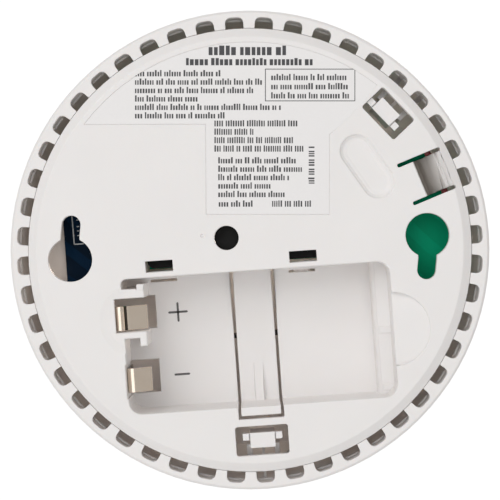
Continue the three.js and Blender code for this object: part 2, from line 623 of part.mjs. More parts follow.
// ---------- test button and switch ----------
// Round cap held behind the cover by its flange, with a long stem that reaches the switch.
function testButton() {
  const { x, z, radius } = BUTTON
  return turned([
    [0, 14.8], [1.6, 14.8], [1.8, 29.4], [radius + 1.1, 29.4], [radius + 1.1, 30.4], [radius, 30.4],
    [radius, 33.2], [radius - 0.7, 33.8], [radius - 3, 33.5], [0, 33.2],
  ], 48, x, z)
}
const SWITCH_TOP = 13.2
const testSwitchBody = () => {
  const { x, z } = BUTTON
  return block([x - 3, x + 3], [BOARD_FRONT, SWITCH_TOP], [z - 3, z + 3])
    .subtract(pin(x, z, 1.8, BOARD_FRONT + 1.7, 14, 16))
}
const testSwitchPlunger = () => pin(BUTTON.x, BUTTON.z, 1.65, 12.4, 14.6, 16)

// ---------- small parts on the board ----------
const chip = (x, z, width, height) =>
  block([x - width / 2, x + width / 2], [BOARD_FRONT, BOARD_FRONT + 1.6], [z - height / 2, z + height / 2])
const can = (x, z, radius, height) => turned([
  [0, BOARD_FRONT], [radius, BOARD_FRONT], [radius, BOARD_FRONT + height - 0.4],
  [radius - 0.4, BOARD_FRONT + height], [0, BOARD_FRONT + height],
], 20, x, z)
const drum = (x, z) => turned([
  [0, BOARD_FRONT], [3.6, BOARD_FRONT], [3.6, BOARD_FRONT + 1], [2.6, BOARD_FRONT + 1],
  [2.6, BOARD_FRONT + 4], [3.6, BOARD_FRONT + 4], [3.6, BOARD_FRONT + 5], [0, BOARD_FRONT + 5],
], 20, x, z)
const lamp = (x, z) => turned([
  [0, BOARD_FRONT], [1.8, BOARD_FRONT], [1.8, BOARD_FRONT + 0.8], [1.5, BOARD_FRONT + 0.8],
  [1.5, BOARD_FRONT + 3], [1, BOARD_FRONT + 4.1], [0, BOARD_FRONT + 4.5],
], 16, x, z)
const lightPipe = () => turned([
  [0, 14.6], [LIGHT.radius, 14.6], [LIGHT.radius, BODY_DEPTH - 0.3],
  [LIGHT.radius - 0.4, BODY_DEPTH - 0.05], [0, BODY_DEPTH - 0.05],
], 16, LIGHT.x, LIGHT.z)

// Pan-head screw driven from the front; its thread is left plain.
const screw = (x, z, underHead) => turned([
  [0, underHead - 5.6], [1.1, underHead - 5], [1.1, underHead], [2.4, underHead],
  [2.4, underHead + 0.9], [1.6, underHead + 1.6], [0, underHead + 1.6],
], 16, x, z)

// ---------- battery leads ----------
const LEAD_RADIUS = 0.65
const RED_LEAD = [
  [-29.3, 20.7, -12.5], [-31.2, 20.5, -16], [-32, 17, -24], [-31.4, 13.4, -31], [-26, 12.5, -35.6],
  [-18, 12.5, -36.9], [-6, 12.5, -37], [6, 12.5, -37], [18, 12.5, -36.9], [28, 12.2, -34.5],
  [34.5, 11.6, -27], [38.5, 10.6, -19.5], [41.2, 9, -13.5], [42.6, 6.4, -8.6],
  ...[[43.2, -3], [43.2, 5], [42.9, 13], [42.6, 21], [42.6, 28]].map(([radius, angle]) => {
    const [x, z] = polar(radius, angle)
    return [x, 6, z]
  }),
  [34.6, 7, 23.3],
]
const BLACK_LEAD = [
  [-27.3, 20.7, -25.2], [-29, 21, -22.4], [-27, 21.3, -19.4], [-22, 21.5, -18.7], [-8, 21.6, -18.5],
  [10, 22.8, -18], [24, 23.2, -14.5],
  [31, 21.5, -9], [35, 16, -6.6], [37, 10.8, -6.2],
]

// ---------- the assembly, from back to front ----------
part('back_plate', backPlate(), LOOKS.casing)
part('battery_tongue', batteryTongue(), LOOKS.casing)
part('rating_label', ratingLabel(), LOOKS.label)
part('positive_contact', contact(POSITIVE_PATH, -12.5), LOOKS.spring)
part('negative_contact', contact(NEGATIVE_PATH, -25.6), LOOKS.spring)

part('main_board', mainBoard(), LOOKS.greenBoard)
part('sounder_board', sounderBoard(), LOOKS.darkBoard)
BOARD_SCREWS.forEach(([x, z], k) => part(`board_screw_${k + 1}`, screw(x, z, BOARD_FRONT), LOOKS.screw))
part('controller_chip', chip(31, 15, 4, 10), LOOKS.chip)
part('driver_chip', chip(30, 5, 5, 4), LOOKS.chip)
part('boost_inductor', drum(3, 38.5), LOOKS.chip)
part('large_capacitor', can(-8, 38, 4, 11), LOOKS.aluminium)
part('small_capacitor', can(26.5, -0.2, 2.2, 7), LOOKS.aluminium)
part('test_switch_body', testSwitchBody(), LOOKS.chip)
part('test_switch_plunger', testSwitchPlunger(), LOOKS.blackPlastic)
part('status_led', lamp(LIGHT.x, LIGHT.z), LOOKS.redLamp)
part('light_pipe', lightPipe(), LOOKS.clear)

part('chamber_base', chamberBase(), LOOKS.blackPlastic)
part('chamber_labyrinth', chamberLabyrinth(), LOOKS.blackPlastic)
part('insect_screen', insectScreen(), LOOKS.screw)
part('ir_emitter', diode(20, 2.4), LOOKS.clear)
part('photodiode', diode(165, 2.4), LOOKS.chip)

part('sounder_carrier', sounderCarrier(), LOOKS.greyPlastic)
CARRIER_SCREWS.forEach(([x, z], k) =>
  part(`carrier_screw_${k + 1}`, screw(x, z, CARRIER.back + CARRIER.thickness + 0.1), LOOKS.screw))
part('piezo_disc', piezoDisc(), LOOKS.brass)
part('piezo_ceramic', piezoCeramic(), LOOKS.aluminium)
part('piezo_lead_edge', piezoLead(PIEZO_LEADS[0], [-33.5, 6.5]), LOOKS.redWire)
part('piezo_lead_centre', piezoLead(PIEZO_LEADS[1], [-26, 8]), LOOKS.blackWire)

part('red_battery_lead', wire(RED_LEAD, LEAD_RADIUS, 50), LOOKS.redWire)
part('black_battery_lead', wire(BLACK_LEAD, LEAD_RADIUS, 30), LOOKS.blackWire)

part('test_button', testButton(), LOOKS.casing)
part('front_cover', frontCover(), LOOKS.casing)

export default group
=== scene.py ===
"""Looks of a compact battery smoke alarm: moulded edges, materials, printing, light and camera.

Metres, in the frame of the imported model: the mounting face is Y = 0 and faces -Y, the front
cover grows towards +Y, +Z is up and +X is right for someone who looks at the back plate.
Lengths below are written in millimetres and turned into metres by MM.
"""

import json
import math
import random

import bmesh
import bpy
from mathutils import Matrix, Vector

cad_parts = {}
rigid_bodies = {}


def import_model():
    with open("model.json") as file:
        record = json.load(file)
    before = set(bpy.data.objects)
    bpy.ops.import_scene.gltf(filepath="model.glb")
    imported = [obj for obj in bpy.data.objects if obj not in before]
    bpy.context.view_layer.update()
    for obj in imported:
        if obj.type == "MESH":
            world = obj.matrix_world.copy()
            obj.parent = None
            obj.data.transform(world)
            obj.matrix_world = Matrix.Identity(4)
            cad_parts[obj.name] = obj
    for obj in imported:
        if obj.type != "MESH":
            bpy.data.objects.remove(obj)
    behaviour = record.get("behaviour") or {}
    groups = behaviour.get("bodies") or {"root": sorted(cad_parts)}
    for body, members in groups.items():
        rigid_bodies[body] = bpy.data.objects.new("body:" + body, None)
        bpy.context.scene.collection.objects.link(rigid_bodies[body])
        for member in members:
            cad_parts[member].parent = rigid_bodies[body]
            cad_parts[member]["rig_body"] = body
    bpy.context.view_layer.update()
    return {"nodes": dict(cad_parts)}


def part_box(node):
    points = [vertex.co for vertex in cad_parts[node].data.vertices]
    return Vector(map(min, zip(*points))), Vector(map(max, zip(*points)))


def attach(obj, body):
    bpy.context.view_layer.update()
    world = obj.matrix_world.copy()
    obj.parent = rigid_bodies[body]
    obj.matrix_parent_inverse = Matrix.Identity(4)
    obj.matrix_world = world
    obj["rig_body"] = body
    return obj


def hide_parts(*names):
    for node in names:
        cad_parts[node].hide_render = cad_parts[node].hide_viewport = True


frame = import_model()
MM = 0.001
NODES = frame["nodes"]


# ---------- camera ----------
ROLL = math.radians(4)  # the alarm lies turned a little in the picture
CAMERA_DISTANCE = 400 * MM
PICTURE_SHARE = 0.96  # the disc's diameter as a share of the picture's width
SENSOR_WIDTH = 36  # millimetres, like the lens


def make_camera():
    data = bpy.data.cameras.new("camera")
    camera = bpy.data.objects.new("camera", data)
    bpy.context.scene.collection.objects.link(camera)
    low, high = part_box("front_cover")
    rim_distance = CAMERA_DISTANCE + low.y
    data.sensor_width = SENSOR_WIDTH
    data.lens = PICTURE_SHARE * SENSOR_WIDTH * rim_distance / (high.x - low.x)
    camera.location = (0, -CAMERA_DISTANCE, 0)
    camera.rotation_euler = (math.radians(90), ROLL, 0)
    bpy.context.scene.camera = camera


make_camera()


# ---------- node helpers ----------
class Shader:
    """A Principled material whose inputs are fed by small procedural textures."""

    def __init__(self, name, color, roughness, metallic=0.0):
        self.material = bpy.data.materials.new(name)
        self.material.use_nodes = True
        self.tree = self.material.node_tree
        self.principled = self.tree.nodes["Principled BSDF"]
        self.place = self.node("ShaderNodeTexCoord").outputs["Object"]
        self.set("Base Color", (*color, 1))
        self.set("Roughness", roughness)
        self.set("Metallic", metallic)

    def node(self, kind):
        return self.tree.nodes.new(kind)

    def set(self, socket, value):
        self.principled.inputs[socket].default_value = value

    def link(self, output, target):
        self.tree.links.new(output, target)

    def noise(self, size, detail=2.0, rough=0.5, stretch=(1, 1, 1)):
        """Noise whose blobs are about this many metres across."""
        mapping = self.node("ShaderNodeMapping")
        mapping.inputs["Scale"].default_value = [1 / (size * s) for s in stretch]
        self.link(self.place, mapping.inputs["Vector"])
        texture = self.node("ShaderNodeTexNoise")
        texture.inputs["Scale"].default_value = 1
        texture.inputs["Detail"].default_value = detail
        texture.inputs["Roughness"].default_value = rough
        self.link(mapping.outputs["Vector"], texture.inputs["Vector"])
        return texture.outputs["Fac"]

    def spots(self, size, radius):
        """1 inside small round spots, about this many metres apart, and 0 elsewhere.

        The spots' radius is a share of their spacing.
        """
        texture = self.node("ShaderNodeTexVoronoi")
        texture.inputs["Scale"].default_value = 1 / size
        self.link(self.place, texture.inputs["Vector"])
        return self.remap(texture.outputs["Distance"], radius, radius + 0.02, 1, 0)

    def remap(self, value, low, high, to_low, to_high):
        remap = self.node("ShaderNodeMapRange")
        remap.inputs["From Min"].default_value = low
        remap.inputs["From Max"].default_value = high
        remap.inputs["To Min"].default_value = to_low
        remap.inputs["To Max"].default_value = to_high
        self.link(value, remap.inputs["Value"])
        return remap.outputs["Result"]

    def ramp(self, letter, start, end, at_start=0, at_end=1):
        """A ramp along one axis of the object, between two places in metres."""
        split = self.node("ShaderNodeSeparateXYZ")
        self.link(self.place, split.inputs[0])
        return self.remap(split.outputs[letter], start, end, at_start, at_end)

    def product(self, *factors):
        result = factors[0]
        for factor in factors[1:]:
            times = self.node("ShaderNodeMath")
            times.operation = "MULTIPLY"
            self.link(result, times.inputs[0])
            self.link(factor, times.inputs[1])
            result = times.outputs[0]
        return result

    def mix(self, factor, color_a, color_b):
        """The first color at a factor of 0 and the second at 1; each a tuple or another mix."""
        mix = self.node("ShaderNodeMix")
        mix.data_type = "RGBA"
        self.link(factor, mix.inputs["Factor"])
        for socket, color in ((mix.inputs[6], color_a), (mix.inputs[7], color_b)):
            if isinstance(color, tuple):
                socket.default_value = (*color, 1)
            else:
                self.link(color, socket)
        return mix.outputs[2]

    def color(self, output):
        self.link(output, self.principled.inputs["Base Color"])

    def roughness(self, output):
        self.link(output, self.principled.inputs["Roughness"])

    def bump(self, height, depth):
        """Bump from a height of 0 to 1 that stands for this many metres."""
        bump = self.node("ShaderNodeBump")
        bump.inputs["Distance"].default_value = depth
        self.link(height, bump.inputs["Height"])
        before = self.principled.inputs["Normal"].links
        if before:
            self.link(before[0].from_socket, bump.inputs["Normal"])
        self.link(bump.outputs["Normal"], self.principled.inputs["Normal"])


def scaled(color, factor):
    """A darker or lighter color."""
    return tuple(min(1.0, channel * factor) for channel in color)


# ---------- materials ----------
# Painted shade: the trough at the plate's right side is darkened towards its bottom.
# The spot has no end in depth, so it also colours a patch of the front cover's shoulder, a known fault.
TROUGH_SHADE = {
    "left": 34.4 * MM, "right": 42.2 * MM,
    "low": 8.2 * MM, "high": 18 * MM,
    "shallow": 1.6 * MM, "deep": 6.4 * MM,
    "fade": 1.2 * MM,
}
TROUGH_SHADE_COLOR = (0.30, 0.27, 0.24)
CRISP = 0.1 * MM  # width of a ramp that reads as an edge


def trough_shade_mask(shader):
    """Painted shade, 0 outside the spot and up to 1 at the trough's bottom and everywhere behind it."""
    return shader.product(
        shader.ramp("X", TROUGH_SHADE["left"], TROUGH_SHADE["left"] + CRISP),
        shader.ramp("X", TROUGH_SHADE["right"] - TROUGH_SHADE["fade"], TROUGH_SHADE["right"], 1, 0),
        shader.ramp("Z", TROUGH_SHADE["low"], TROUGH_SHADE["low"] + CRISP),
        shader.ramp("Z", TROUGH_SHADE["high"] - CRISP, TROUGH_SHADE["high"], 1, 0),
        shader.ramp("Y", TROUGH_SHADE["shallow"], TROUGH_SHADE["deep"]),
    )


def casing_plastic():
    """White ABS with a fine eroded mould texture, a little cloudy and faintly warm."""
    color = (0.88, 0.862, 0.855)
    shader = Shader("casing_plastic", color, 0.42)
    shader.set("Specular IOR Level", 0.35)
    shader.set("Subsurface Weight", 0.12)
    shader.set("Subsurface Radius", (1.0, 0.8, 0.65))
    shader.set("Subsurface Scale", 0.6 * MM)
    cloudy = shader.mix(shader.noise(14 * MM), scaled(color, 0.975), scaled(color, 1.02))
    # Painted shade in the trough, laid over the cloudy colour.
    shader.color(shader.mix(trough_shade_mask(shader), cloudy, TROUGH_SHADE_COLOR))
    shader.roughness(shader.remap(shader.noise(5 * MM, 3), 0.3, 0.7, 0.38, 0.5))
    shader.bump(shader.noise(0.22 * MM, 3, 0.6), 0.006 * MM)
    shader.bump(shader.noise(9 * MM, 1), 0.03 * MM)
    return shader.material


def label_film():
    """Printed film, a shade cooler and smoother than the moulding, with a faint paper grain."""
    color = (0.875, 0.862, 0.862)
    shader = Shader("label_film", color, 0.38)
    shader.set("Specular IOR Level", 0.35)
    grain = shader.noise(0.5 * MM, 4, 0.65)
    shader.color(shader.mix(grain, scaled(color, 0.97), scaled(color, 1.02)))
    shader.roughness(shader.remap(shader.noise(4 * MM), 0.3, 0.7, 0.3, 0.42))
    shader.bump(shader.noise(2.5 * MM, 2), 0.006 * MM)
    return shader.material


def ink(name, color):
    """Printing ink, worn thin in tiny specks."""
    shader = Shader(name, color, 0.5)
    shader.color(shader.mix(shader.noise(0.16 * MM, 2), scaled(color, 0.8), scaled(color, 1.5)))
    shader.bump(shader.noise(0.1 * MM), 0.002 * MM)
    return shader.material


# Painted shade in the positive contact's fold: where it starts and ends across the plate, and how deep it
# begins.
SHADED_FOLD = {"left": -27.9 * MM, "right": -26.8 * MM, "depth": 4.2 * MM, "blur": 0.3 * MM}


def nickel_spring():
    """Nickel-plated strip: rolled along its length, with a warm tarnish and painted shade in the positive
    contact's fold.
    """
    bright, tarnished, fold_shade_color = (0.90, 0.80, 0.69), (0.82, 0.70, 0.58), (0.03, 0.025, 0.02)
    shader = Shader("nickel_spring", bright, 0.22, 1.0)
    clean = shader.mix(shader.noise(3.5 * MM, 1), bright, tarnished)
    fold_shade_mask = shader.product(
        shader.ramp("X", SHADED_FOLD["left"], SHADED_FOLD["left"] + SHADED_FOLD["blur"]),
        shader.ramp("X", SHADED_FOLD["right"], SHADED_FOLD["right"] + CRISP, 1, 0),
        shader.ramp("Y", SHADED_FOLD["depth"], SHADED_FOLD["depth"] + SHADED_FOLD["blur"]),
    )
    # Painted shade: near black where the strip's fold lies in shadow.
    shader.color(shader.mix(fold_shade_mask, clean, fold_shade_color))
    lines = shader.noise(0.12 * MM, 1, stretch=(30, 30, 1))
    shader.roughness(shader.remap(lines, 0.3, 0.7, 0.20, 0.26))
    return shader.material


def board_mask(name, dark, light, track, pitch):
    """Matt solder mask over copper: broad tracks show as slightly raised, lighter bands.

    The pitch is the distance from one track to the next.
    """
    shader = Shader(name, light, 0.55)
    shader.set("Specular IOR Level", 0.06)
    wave = shader.node("ShaderNodeTexWave")
    wave.bands_direction = "DIAGONAL"
    wave.inputs["Scale"].default_value = 1 / pitch
    wave.inputs["Distortion"].default_value = 3
    wave.inputs["Detail"].default_value = 0
    wave.inputs["Detail Scale"].default_value = 0.6
    shader.link(shader.place, wave.inputs["Vector"])
    tracks = shader.remap(wave.outputs["Fac"], 0.62, 0.70, 0, 1)
    base = shader.mix(shader.noise(8 * MM, 1), dark, light)
    shader.color(shader.mix(tracks, base, track))
    shader.bump(tracks, 0.02 * MM)
    shader.roughness(shader.remap(shader.noise(3 * MM), 0.3, 0.7, 0.5, 0.6))
    return shader.material


def dull_plastic(name, color, roughness=0.5, grain=0.25 * MM):
    """Moulded engineering plastic with a fine grain and slight flow clouds."""
    shader = Shader(name, color, roughness)
    shader.set("Specular IOR Level", 0.2)
    shader.color(shader.mix(shader.noise(7 * MM, 3), scaled(color, 0.8), scaled(color, 1.2)))
    shader.roughness(shader.remap(shader.noise(3 * MM), 0.3, 0.7, roughness - 0.07, roughness + 0.08))
    shader.bump(shader.noise(grain, 3, 0.6), 0.008 * MM)
    return shader.material


def plated_metal(name, color, worn, roughness=0.3):
    """Plated or rolled metal with soft blotches of oxide and fine scratches."""
    shader = Shader(name, color, roughness, 1.0)
    shader.color(shader.mix(shader.noise(1.6 * MM, 4, 0.6), worn, color))
    blotches = shader.noise(0.8 * MM, 3)
    shader.roughness(shader.remap(blotches, 0.3, 0.7, roughness - 0.1, roughness + 0.15))
    shader.bump(shader.noise(0.12 * MM, 2, stretch=(1, 6, 1)), 0.004 * MM)
    return shader.material


def woven_screen():
    """Etched steel insect screen."""
    shader = Shader("woven_screen", (0.42, 0.42, 0.43), 0.35, 1.0)
    holes = shader.spots(0.55 * MM, 0.3)
    shader.color(shader.mix(holes, (0.45, 0.45, 0.46), (0.02, 0.02, 0.02)))
    shader.bump(holes, 0.05 * MM)
    return shader.material


def clear_moulding(name, color, roughness, transmission):
    """Clear moulded plastic or epoxy with faint flow lines."""
    shader = Shader(name, color, roughness)
    shader.set("Transmission Weight", transmission)
    shader.set("IOR", 1.49)
    shader.color(shader.mix(shader.noise(3 * MM), scaled(color, 0.9), color))
    shader.bump(shader.noise(1.2 * MM), 0.006 * MM)
    return shader.material


def insulation(name, color):
    """PVC insulation, slightly glossy and dusty."""
    shader = Shader(name, color, 0.4)
    shader.color(shader.mix(shader.noise(1.5 * MM, 3), scaled(color, 0.75), scaled(color, 1.25)))
    shader.roughness(shader.remap(shader.noise(0.8 * MM, 2), 0.3, 0.7, 0.32, 0.52))
    shader.bump(shader.noise(0.3 * MM), 0.006 * MM)
    return shader.material


CASING = casing_plastic()
LABEL = label_film()
BLACK_INK = ink("black_ink", (0.045, 0.045, 0.05))
GREY_INK = ink("grey_ink", (0.09, 0.085, 0.085))
WHITE_INK = ink("legend_ink", (0.42, 0.44, 0.45))
NICKEL = nickel_spring()
GREEN_BOARD = board_mask(
    "green_solder_mask", dark=(0, 0.28, 0.14), light=(0, 0.33, 0.17), track=(0, 0.345, 0.18), pitch=16 * MM)
DARK_BOARD = board_mask(
    "dark_solder_mask", dark=(0, 0.004, 0.009), light=(0, 0.010, 0.030), track=(0, 0.014, 0.040),
    pitch=12 * MM)
BLACK_PLASTIC = dull_plastic("black_plastic", (0.008, 0.008, 0.008))
GREY_PLASTIC = dull_plastic("grey_beige_plastic", (0.84, 0.79, 0.75))
CHIP = dull_plastic("epoxy_moulding", (0.016, 0.016, 0.017), 0.45, 0.12 * MM)
CAN = plated_metal("drawn_aluminium", (0.72, 0.73, 0.75), (0.5, 0.5, 0.52))
STEEL = plated_metal("zinc_plate", (0.62, 0.62, 0.64), (0.4, 0.39, 0.38))
BRASS = plated_metal("rolled_brass", (0.78, 0.56, 0.24), (0.45, 0.28, 0.1))
CERAMIC = plated_metal("silvered_ceramic", (0.68, 0.67, 0.64), (0.5, 0.48, 0.44), 0.45)
SCREEN = woven_screen()
CLEAR = clear_moulding("clear_acrylic", (0.93, 0.96, 0.96), 0.08, 0.95)
RED_LAMP = clear_moulding("red_epoxy", (0.55, 0.01, 0.015), 0.12, 0.6)
RED_WIRE = insulation("red_insulation", (0.30, 0.012, 0.02))
BLACK_WIRE = insulation("black_insulation", (0.012, 0.012, 0.012))


# ---------- mesh helpers ----------
ROUNDING_STEPS = 2  # facets across a rounded edge
ROUNDED_TURN = math.radians(32)  # moulded edges that turn more than this are rounded
STRIP_TURN = math.radians(50)  # the same for the edges of the contacts' strips
BORDER_SHARE = 1.05  # a flat area's border is this much wider than the rounding beside it


def add_object(name, mesh, material, body):
    """A piece that rides on one body and takes one slot's material."""
    piece = bpy.data.objects.new(name, mesh)
    bpy.context.scene.collection.objects.link(piece)
    mesh.materials.clear()
    mesh.materials.append(material)
    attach(piece, body)
    return piece


def finish_mesh(bm, name, smooth=True):
    """Turns a working mesh into one for an object, with its faces looking outwards."""
    bmesh.ops.recalc_face_normals(bm, faces=bm.faces)
    for face in bm.faces:
        face.smooth = smooth
    mesh = bpy.data.meshes.new(name)
    bm.to_mesh(mesh)
    bm.free()
    return mesh


def round_edges(piece, width, method):
    """Rounds the edges that have a weight, or that turn enough, and shades flat faces flat."""
    bevel = piece.modifiers.new("rounded_edges", "BEVEL")
    bevel.width = width
    bevel.segments = ROUNDING_STEPS
    bevel.limit_method = method
    bevel.angle_limit = STRIP_TURN
    bevel.use_clamp_overlap = False
    normals = piece.modifiers.new("flat_faces", "WEIGHTED_NORMAL")
    normals.mode = "FACE_AREA"
    normals.weight = 80
    normals.keep_sharp = True


# ---------- even facets ----------
# The CAD meshes cut a flat face with holes into long thin triangles, which a rounded edge can't
# follow. Here such a face gets an even border along its edges and a new middle.
SAME_PLANE = 0.999998  # cosine of the angle between faces that count as one flat area
SAME_SIDE = 0.999  # cosine below which a new face counts as folded
WIDE_AREA = (4 * MM) ** 2  # smaller flat areas keep their triangles
AREA_ERROR = 1e-5  # share by which a refilled area may differ
WELD = 0.0015 * MM  # corners closer than this become one
STRAY = 0.4  # rim edges shorter than this share of the border are dropped
BORDERS = (1, 0.8, 0.55)  # shares of the border's width to try


def flat_groups(bm):
    """Sets of neighbouring faces that lie in one plane."""
    seen = set()
    for first in bm.faces:
        if first in seen:
            continue
        group, waiting = [], [first]
        seen.add(first)
        while waiting:
            face = waiting.pop()
            group.append(face)
            for edge in face.edges:
                for other in edge.link_faces:
                    if other not in seen and other.normal.dot(first.normal) > SAME_PLANE:
                        seen.add(other)
                        waiting.append(other)
        yield group


def has_holes(group):
    """Tells by Euler's rule whether the faces leave a hole between them."""
    edges = {edge for face in group for edge in face.edges}
    corners = {corner for face in group for corner in face.verts}
    return len(corners) - len(edges) + len(group) != 1


def is_wide(group):
    return has_holes(group) and sum(face.calc_area() for face in group) > WIDE_AREA


def rim_of(group):
    """Edges round a set of faces."""
    inside = set(group)
    edges = {edge for face in group for edge in face.edges}
    return [edge for edge in edges if sum(face in inside for face in edge.link_faces) == 1]


def drop_short_edges(bm, groups, least):
    """Collapses a rim's stray short edges; a small round hole, all short edges, stays."""
    short = set()
    for group in groups:
        rim = set(rim_of(group))
        for edge in rim:
            beside = [other for corner in edge.verts for other in corner.link_edges
                      if other in rim and other is not edge]
            if edge.calc_length() < least and any(other.calc_length() > least for other in beside):
                short.add(edge)
    bmesh.ops.collapse(bm, edges=list(short))
    bm.normal_update()


def open_edges(bm):
    """Edges of the one gap in a mesh that was closed before."""
    return [edge for edge in bm.edges if len(edge.link_faces) == 1]


def refill(bm, group, border):
    """Gives a flat area with holes an even border along every edge, and fills its middle anew."""
    normal = group[0].normal.copy()
    edging = bmesh.ops.inset_region(bm, faces=group, thickness=border, use_even_offset=True)["faces"]
    inner = list({edge for face in group for edge in face.edges} - set(rim_of(group)))
    bmesh.ops.delete(bm, geom=group, context="FACES_ONLY")
    bmesh.ops.delete(bm, geom=inner, context="EDGES")
    bm.normal_update()
    folded = [edge for edge in open_edges(bm) if edge.link_faces[0].normal.dot(normal) < SAME_SIDE]
    bmesh.ops.collapse(bm, edges=folded)
    middle = bmesh.ops.triangle_fill(bm, edges=open_edges(bm), use_beauty=True, normal=normal)["geom"]
    made = edging + [item for item in middle if isinstance(item, bmesh.types.BMFace)]
    return [face for face in made if face.is_valid]


def signed_area(faces, normal):
    """Total area, less that of faces that look the other way."""
    return sum(math.copysign(face.calc_area(), face.normal.dot(normal)) for face in faces)


def refilled(bm, number, border):
    """The mesh with one flat area refilled, or as it was if new faces fold or leave a gap.

    Narrower borders are tried in turn, since a wide one folds where two edges lie close together.
    """
    for share in BORDERS:
        trial = bm.copy()
        layer = trial.faces.layers.int["flat_area"]
        group = [face for face in trial.faces if face[layer] == number]
        normal = group[0].normal.copy()
        area = signed_area(group, normal)
        made = refill(trial, group, share * border)
        trial.normal_update()
        whole = abs(signed_area(made, normal) - area) < AREA_ERROR * area
        flat = all(face.normal.dot(normal) > SAME_SIDE for face in made)
        closed = all(len(edge.link_faces) == 2 for edge in trial.edges)
        if whole and flat and closed:
            bm.free()
            return trial
        trial.free()
    return bm


def merge_facets(bm, border):
    """Joins the triangles of flat areas without holes, and refills wide ones that have holes."""
    bmesh.ops.remove_doubles(bm, verts=bm.verts, dist=WELD)
    bm.normal_update()
    drop_short_edges(bm, [group for group in flat_groups(bm) if is_wide(group)], STRAY * border)
    for name in ("flat_area", "plain"):
        bm.faces.layers.int.new(name)
    number_of = bm.faces.layers.int["flat_area"]
    plain_of = bm.faces.layers.int["plain"]
    count = 0
    for group in flat_groups(bm):
        if len(group) == 1:
            continue
        if is_wide(group):
            count += 1
            for face in group:
                face[number_of] = count
        elif not has_holes(group):
            for face in group:
                face[plain_of] = 1
    for number in range(1, count + 1):
        bm = refilled(bm, number, border)
    plain_of = bm.faces.layers.int["plain"]
    joined = [edge for edge in bm.edges if all(face[plain_of] for face in edge.link_faces)]
    bmesh.ops.dissolve_limit(bm, angle_limit=math.radians(0.12), verts=[], edges=joined)
    for name in ("flat_area", "plain"):
        bm.faces.layers.int.remove(bm.faces.layers.int[name])
    return bm


# ---------- moulded pieces ----------
def same_everywhere(place):
    return 1.0


def as_it_is(place):
    return place


def moulded(node, material, width, softness=same_everywhere, reshape=as_it_is, blend=9):
    """The CAD shape with rounded edges, standing for that node.

    Softness scales the rounding's width at a place, and reshape moves a corner. Neighbouring
    faces that turn less than the blend, in degrees, are shaded as one curve.
    """
    bm = bmesh.new()
    bm.from_mesh(NODES[node].data)
    for corner in bm.verts:
        corner.co = reshape(corner.co)
    bm = merge_facets(bm, BORDER_SHARE * width)
    weights = bm.edges.layers.float.new("bevel_weight_edge")
    for edge in bm.edges:
        if len(edge.link_faces) == 2 and edge.calc_face_angle() > ROUNDED_TURN:
            middle = (edge.verts[0].co + edge.verts[1].co) / 2
            edge[weights] = softness(middle)
    mesh = finish_mesh(bm, node + "_moulding")
    mesh.set_sharp_from_angle(angle=math.radians(blend))
    piece = add_object(node + "_moulding", mesh, material, NODES[node]["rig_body"])
    round_edges(piece, width, "WEIGHT")
    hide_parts(node)


def dress(material, *names):
    """Gives CAD nodes that keep their shape a material."""
    for name in names:
        mesh = NODES[name].data
        mesh.materials.clear()
        mesh.materials.append(material)


def prism(bm, points, near, far):
    """A closed thin solid over an outline of (x, z) points, from one depth to another."""
    front = [bm.verts.new((x, near, z)) for x, z in points]
    back = [bm.verts.new((x, far, z)) for x, z in points]
    bm.faces.new(front)
    bm.faces.new(back[::-1])
    for k in range(len(points)):
        after = (k + 1) % len(points)
        bm.faces.new((front[k], front[after], back[after], back[k]))


def stroke(start, end, width, round_steps=4):
    """Outline of a straight stroke with round ends, as (x, z) points."""
    start, end = Vector(start), Vector(end)
    along = (end - start).normalized()
    side = Vector((-along.y, along.x))
    points = []
    for centre, turn in ((end, -1), (start, 1)):
        for k in range(round_steps + 1):
            angle = math.pi * k / round_steps
            point = centre + width / 2 * (turn * math.cos(angle) * side - turn * math.sin(angle) * along)
            points.append(tuple(point))
    return points


SUNK = 0.01 * MM  # how far ink reaches into the surface below it


def print_strokes(name, strokes, width, surface, thickness, material):
    """Raised ink: strokes of even width on a face at this depth that looks towards -Y."""
    bm = bmesh.new()
    for start, end in strokes:
        prism(bm, stroke(start, end, width), surface - thickness, surface + SUNK)
    return add_object(name, finish_mesh(bm, name, smooth=False), material, "casing")


# ---------- the casing ----------
BAY_RIM = {"left": -27.4 * MM, "right": 28.8 * MM, "bottom": -32.6 * MM, "top": -4.2 * MM}
RIM_DEPTH = 0.35 * MM  # corners above this depth belong to the bay's rim
PLATE_EDGE = 46 * MM  # radius
LABEL_DEPTH = 0.2 * MM  # of the shallow bed that the label lies in
LABEL_CORNER = Vector((25.06, 27.87)) * MM  # the bed's corner beside the upper hook pocket
LABEL_SHIFT = Vector((-0.8, 0, 0.05)) * MM
LABEL_MATCH = 0.12 * MM  # how near a CAD corner has to be


def from_axis(place):
    return math.hypot(place.x, place.z)


def plate_softness(place):
    """The bay's rim is rounded most; the edge against the cover and the label's bed are crisp."""
    if from_axis(place) > PLATE_EDGE or 0.001 * MM < place.y < LABEL_DEPTH:
        return 0
    in_width = BAY_RIM["left"] < place.x < BAY_RIM["right"]
    in_height = BAY_RIM["bottom"] < place.z < BAY_RIM["top"]
    return 1 if in_width and in_height and place.y < RIM_DEPTH else 0.5


# The trough between the two slits is a run of straight creases across a radius. Each pair gives a
# crease's distance from the disc's centre and its depth, in millimetres, in the CAD and here.
TROUGH_ANGLE = math.radians(18.7)
TROUGH_REACH = 4.6 * MM  # half the creases' length, and a little more
TROUGH_MATCH = 0.05 * MM
TROUGH_LINES = (
    ((43.6, 2.6), (43.7, 1.2)), ((42.6, 4.1), (43.0, 2.4)), ((41.6, 4.7), (42.2, 3.6)),
    ((40.8, 5.6), (41.4, 4.7)), ((40.1, 5.6), (40.5, 5.7)), ((39.3, 4.4), (39.6, 6.5)),
    ((38.7, 2.4), (38.8, 6.3)), ((37.1, 3.6), (37.1, 7.2)), ((39.4, 6.7), (39.4, 7.5)),
)


